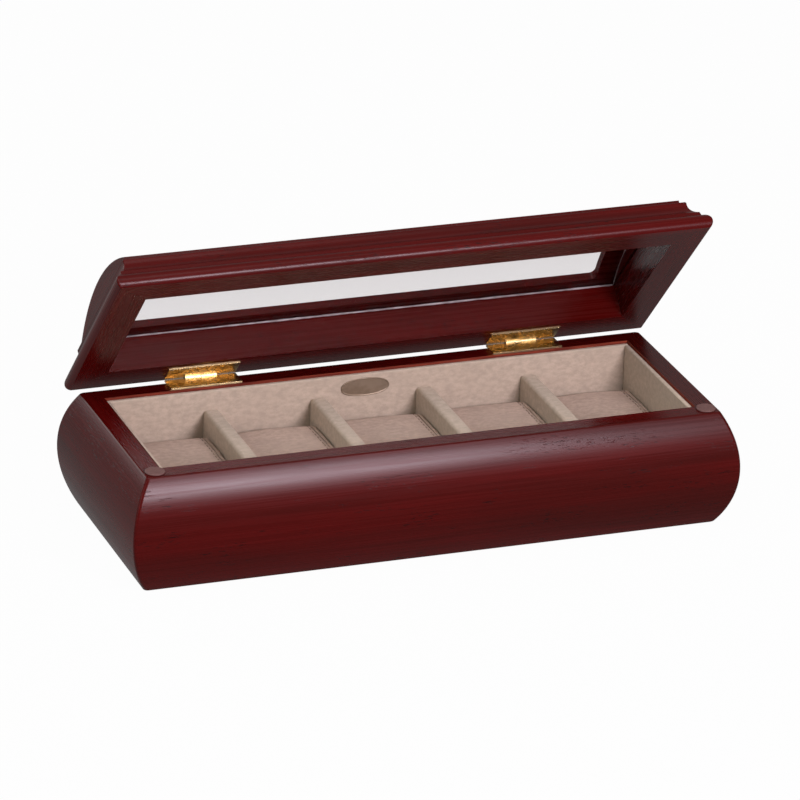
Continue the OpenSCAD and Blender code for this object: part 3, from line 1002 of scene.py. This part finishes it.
class WATCHBOX_OT_crown(bpy.types.Operator):
    """Build the arched panel round the window and the gable under each of its ends"""

    bl_idname = "watchbox.crown"
    bl_label = "Crown"

    def execute(self, context):
        panel = self.panel(context.scene.watch_box_sizes.crown_round)
        place(panel, ON_FRAME)
        smooth(panel)
        pieces = [(panel, "crown_panel", "lacquered_mahogany_lid_long")]
        for side, sign in (("left", -1), ("right", 1)):

            def stretch():
                pick("VERT", lambda v: v.co.x * sign > LID_IN_LONG + MM)
                bpy.ops.transform.translate(value=(sign * CROWN_STRETCH, 0, 0))

            node = f"crown_gable_{side}"
            gable = eased(node, f"{node}_lacquered", reshape=stretch)
            pieces.append((gable, node, "lacquered_mahogany_lid_end"))
        for piece, node, finish in pieces:
            paint(piece, finish)
            attach(piece, "lid", "mahogany_wood", node)
        return {"FINISHED"}

    def panel(self, width):
        """The arched panel: a grid laid on the arch, thickened downwards and cut for the window."""
        take()
        bpy.ops.mesh.primitive_grid_add(x_subdivisions=1, y_subdivisions=72, size=2)
        panel = bpy.context.object
        panel.name = "crown_panel_lacquered"
        back = CROWN_BACK / 2
        stretch = Matrix.Diagonal((CROWN_LONG, CROWN_DEEP + back, 1, 1))
        place(panel, Matrix.Translation((0, back, 0)) @ stretch)
        edit(panel)
        bpy.ops.mesh.select_mode(type="VERT")
        pick_all()
        lay_on_arch(panel, ARCH_R)
        thick = {"value": (0, 0, PANEL_R - ARCH_R)}
        bpy.ops.mesh.extrude_region_move(TRANSFORM_OT_translate=thick)
        lay_on_arch(panel, PANEL_R)
        outward_normals()
        close()
        take()
        half = 25 * MM
        bpy.ops.mesh.primitive_cube_add(
            size=2, location=(0, 0, half), scale=(WINDOW_LONG, WINDOW_DEEP, half)
        )
        opening = bpy.context.object
        settle(opening)
        edit(opening)
        round_edges(lambda e: abs(e.verts[0].co.z - e.verts[1].co.z) > MM, WINDOW_ROUND, 8)
        close()
        modify(panel, "BOOLEAN", operation="DIFFERENCE", solver="EXACT", object=opening)
        bpy.data.objects.remove(opening)
        ease(panel, width, 3, 40)
        return panel


class WATCHBOX_OT_window(bpy.types.Operator):
    """Finish the clear pane and run the uneven bead of sealant round its edge"""

    bl_idname = "watchbox.window"
    bl_label = "Window"

    def execute(self, context):
        paint(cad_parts["window_pane"], "clear_acrylic_sheet")
        width, step = context.scene.watch_box_sizes.seal, 1.5 * MM
        long, deep = LID_IN_LONG - 0.4 * width, LID_IN_DEEP - 0.8 * width
        corners = [(-long, -deep), (long, -deep), (long, deep), (-long, deep), (-long, -deep)]
        curve = bpy.data.curves.new("pane_sealant_bead", "CURVE")
        curve.dimensions = "3D"
        curve.bevel_depth = width / 2
        curve.bevel_resolution = 3
        route = []
        for (x0, y0), (x1, y1) in zip(corners, corners[1:]):
            steps = int(math.hypot(x1 - x0, y1 - y0) / step)
            for i in range(steps):
                share = i / steps
                x, y = x0 + (x1 - x0) * share, y0 + (y1 - y0) * share
                route.append((x, y, ARCH_Z + math.sqrt(SEAL_R**2 - y * y) - 0.2 * width))
        spline = curve.splines.new("POLY")
        spline.points.add(len(route) - 1)
        spline.use_cyclic_u = True
        for point, (x, y, z) in zip(spline.points, route):
            point.co = (x, y, z, 1)
            # Thick along the back, thin elsewhere, and uneven in long and short waves
            at_back = y > 0 and abs(x) < 0.99 * long
            long_wave = noise.noise(Vector((x, y, 0)) / (9 * MM))
            short_wave = noise.noise(Vector((x, y, 1)) / (3 * MM))
            point.radius = (0.85 if at_back else 0.35) + 0.28 * long_wave + 0.1 * short_wave
        bead = bpy.data.objects.new("pane_sealant_bead", curve)
        context.scene.collection.objects.link(bead)
        take(bead)
        bpy.ops.object.convert(target="MESH")
        place(bead, ON_FRAME)
        paint(bead, "silicone_sealant")
        smooth_all_over(bead)
        attach(bead, "lid", "sealant", "pane_seal")
        return {"FINISHED"}


# ---------------------------------------------------------------- stage

WHITE = (1, 1, 1, 1)
# How bright the white surroundings look where they mirror in metal and lacquer
FLOOR_IN_GLOSS, WORLD_IN_GLOSS = 0.3, 0.35
# The even light from all round
SOFT_LIGHT = 0.36
# The floor shows white, and a little of the paper itself, with the object's shadow on it
WHITE_SHARE, PAPER = 0.975, (0.45, 0.45, 0.45, 1)
# Each lamp's name, place, what it points at, width and height in metres, watts and colour
LAMPS = (
    ("key_light", (0.3, -1.25, 0.64), (0, 0, 0.05), 0.42, 0.3, 17, "#fbf1fd"),
    ("top_light", (-0.2, -0.3, 1.5), (0, 0, 0), 1.2, 1.0, 8, "#ffffff"),
    ("left_light", (-1.5, -0.3, 0.7), (0, 0, 0.05), 1.0, 0.8, 6, "#ffffff"),
    ("back_light", (-1.0, 1.8, 0.6), (0, 0, 0.05), 1.3, 0.7, 8, "#ffffff"),
)
# The camera, fitted to the photograph: its place, lens, azimuth, elevation and roll
CAMERA_AT, CAMERA_LENS = (-0.9732, -2.4981, 1.2098), 259.91
CAMERA_TURNS = (-21.276, 23.172, 2.292)


def white_surroundings(material, dim):
    """How the white surroundings show: plain white to the camera and through glass, and dimmer in
    what mirrors in metal and lacquer. Gives whether a ray sees them at all, and how bright."""
    path = add(material, "ShaderNodeLightPath").outputs
    seen = path["Is Camera Ray"]
    glossy, through = path["Is Glossy Ray"], path["Is Transmission Ray"]
    for other in (glossy, through):
        seen = add(material, "ShaderNodeMath", {0: seen, 1: other}, operation="MAXIMUM")
    # Light that passes through rough glass counts as glossy too
    mirrored = add(
        material, "ShaderNodeMath", {0: glossy, 1: through}, operation="SUBTRACT", use_clamp=True
    )
    level = add(
        material, "ShaderNodeMapRange", {"Value": mirrored, "To Min": 1, "To Max": dim},
        interpolation_type="SMOOTHSTEP",
    )
    return seen, level


class WATCHBOX_OT_stage(bpy.types.Operator):
    """Set up the pale floor, the studio lights and the camera"""

    bl_idname = "watchbox.stage"
    bl_label = "Stage"

    def execute(self, context):
        scene = context.scene
        scene.view_settings.view_transform = "Standard"
        self.floor()
        self.world(scene)
        for lamp in LAMPS:
            self.light(scene, *lamp)
        self.camera(scene)
        return {"FINISHED"}

    def floor(self):
        take()
        bpy.ops.mesh.primitive_plane_add(size=6, location=(0, 0, -0.2 * MM))
        ground = bpy.context.object
        ground.name = "studio_floor"
        settle(ground)
        material = bpy.data.materials.new("white_paper_floor")
        material.use_nodes = True
        material.node_tree.nodes.clear()
        paper = add(material, "ShaderNodeBsdfDiffuse", {"Color": PAPER})
        seen, level = white_surroundings(material, FLOOR_IN_GLOSS)
        glow = add(material, "ShaderNodeEmission", {"Color": WHITE, "Strength": level})
        share = add(material, "ShaderNodeMath", {0: seen, 1: WHITE_SHARE}, operation="MULTIPLY")
        both = add(material, "ShaderNodeMixShader", {0: share, 1: paper, 2: glow})
        add(material, "ShaderNodeOutputMaterial", {"Surface": both})
        ground.data.materials.append(material)

    def world(self, scene):
        world = bpy.data.worlds.new("studio")
        world.use_nodes = True
        world.node_tree.nodes.clear()
        seen, level = white_surroundings(world, WORLD_IN_GLOSS)
        white = add(world, "ShaderNodeBackground", {"Color": WHITE, "Strength": level})
        soft = add(world, "ShaderNodeBackground", {"Color": WHITE, "Strength": SOFT_LIGHT})
        both = add(world, "ShaderNodeMixShader", {0: seen, 1: soft, 2: white})
        add(world, "ShaderNodeOutputWorld", {"Surface": both})
        scene.world = world

    def light(self, scene, name, at, aim, wide, high, power, tone):
        lamp = bpy.data.lights.new(name, "AREA")
        lamp.shape = "RECTANGLE"
        lamp.size, lamp.size_y, lamp.energy = wide, high, power
        lamp.color = linear(tone)[:3]
        holder = bpy.data.objects.new(name, lamp)
        scene.collection.objects.link(holder)
        holder.location = at
        holder.rotation_euler = (Vector(aim) - Vector(at)).to_track_quat("-Z", "Y").to_euler()

    def camera(self, scene):
        azimuth, elevation, roll = (math.radians(degrees) for degrees in CAMERA_TURNS)
        forward = Vector((
            -math.sin(azimuth) * math.cos(elevation), math.cos(azimuth) * math.cos(elevation),
            -math.sin(elevation),
        ))
        level = Vector((math.cos(azimuth), math.sin(azimuth), 0))
        upright = level.cross(forward)
        right = math.cos(roll) * level + math.sin(roll) * upright
        above = -math.sin(roll) * level + math.cos(roll) * upright
        lens = bpy.data.cameras.new("photo_camera")
        lens.sensor_width, lens.lens, lens.clip_end = 36, CAMERA_LENS, 100
        camera = bpy.data.objects.new("photo_camera", lens)
        scene.collection.objects.link(camera)
        turn = Matrix((right, above, -forward)).transposed().to_4x4()
        camera.matrix_world = Matrix.Translation(CAMERA_AT) @ turn
        scene.camera = camera


OPERATORS = (
    WATCHBOX_OT_case_walls,
    WATCHBOX_OT_bottom,
    WATCHBOX_OT_linings,
    WATCHBOX_OT_dividers,
    WATCHBOX_OT_pillows,
    WATCHBOX_OT_plate,
    WATCHBOX_OT_bumpers,
    WATCHBOX_OT_hinges,
    WATCHBOX_OT_lid_frame,
    WATCHBOX_OT_crown,
    WATCHBOX_OT_window,
    WATCHBOX_OT_stage,
)


class WATCHBOX_PT_panel(bpy.types.Panel):
    """Lists the sizes, the colours and the steps that build the box"""

    bl_label = "Watch Box"
    bl_idname = "WATCHBOX_PT_panel"
    bl_space_type = "VIEW_3D"
    bl_region_type = "UI"
    bl_category = "Watch Box"

    def draw(self, context):
        for group in (context.scene.watch_box_sizes, context.scene.watch_box_colours):
            column = self.layout.column(align=True)
            for name in group.__annotations__:
                column.prop(group, name)
        column = self.layout.column(align=True)
        for operator in OPERATORS:
            column.operator(operator.bl_idname)


CLASSES = (WatchBoxSizes, WatchBoxColours, *OPERATORS, WATCHBOX_PT_panel)


def register():
    for item in CLASSES:
        bpy.utils.register_class(item)
    bpy.types.Scene.watch_box_sizes = bpy.props.PointerProperty(type=WatchBoxSizes)
    bpy.types.Scene.watch_box_colours = bpy.props.PointerProperty(type=WatchBoxColours)


def unregister():
    del bpy.types.Scene.watch_box_colours
    del bpy.types.Scene.watch_box_sizes
    for item in reversed(CLASSES):
        bpy.utils.unregister_class(item)


def main():
    register()
    take()
    for operator in OPERATORS:
        getattr(bpy.ops.watchbox, operator.bl_idname.split(".")[1])()


if __name__ == "__main__":
    main()
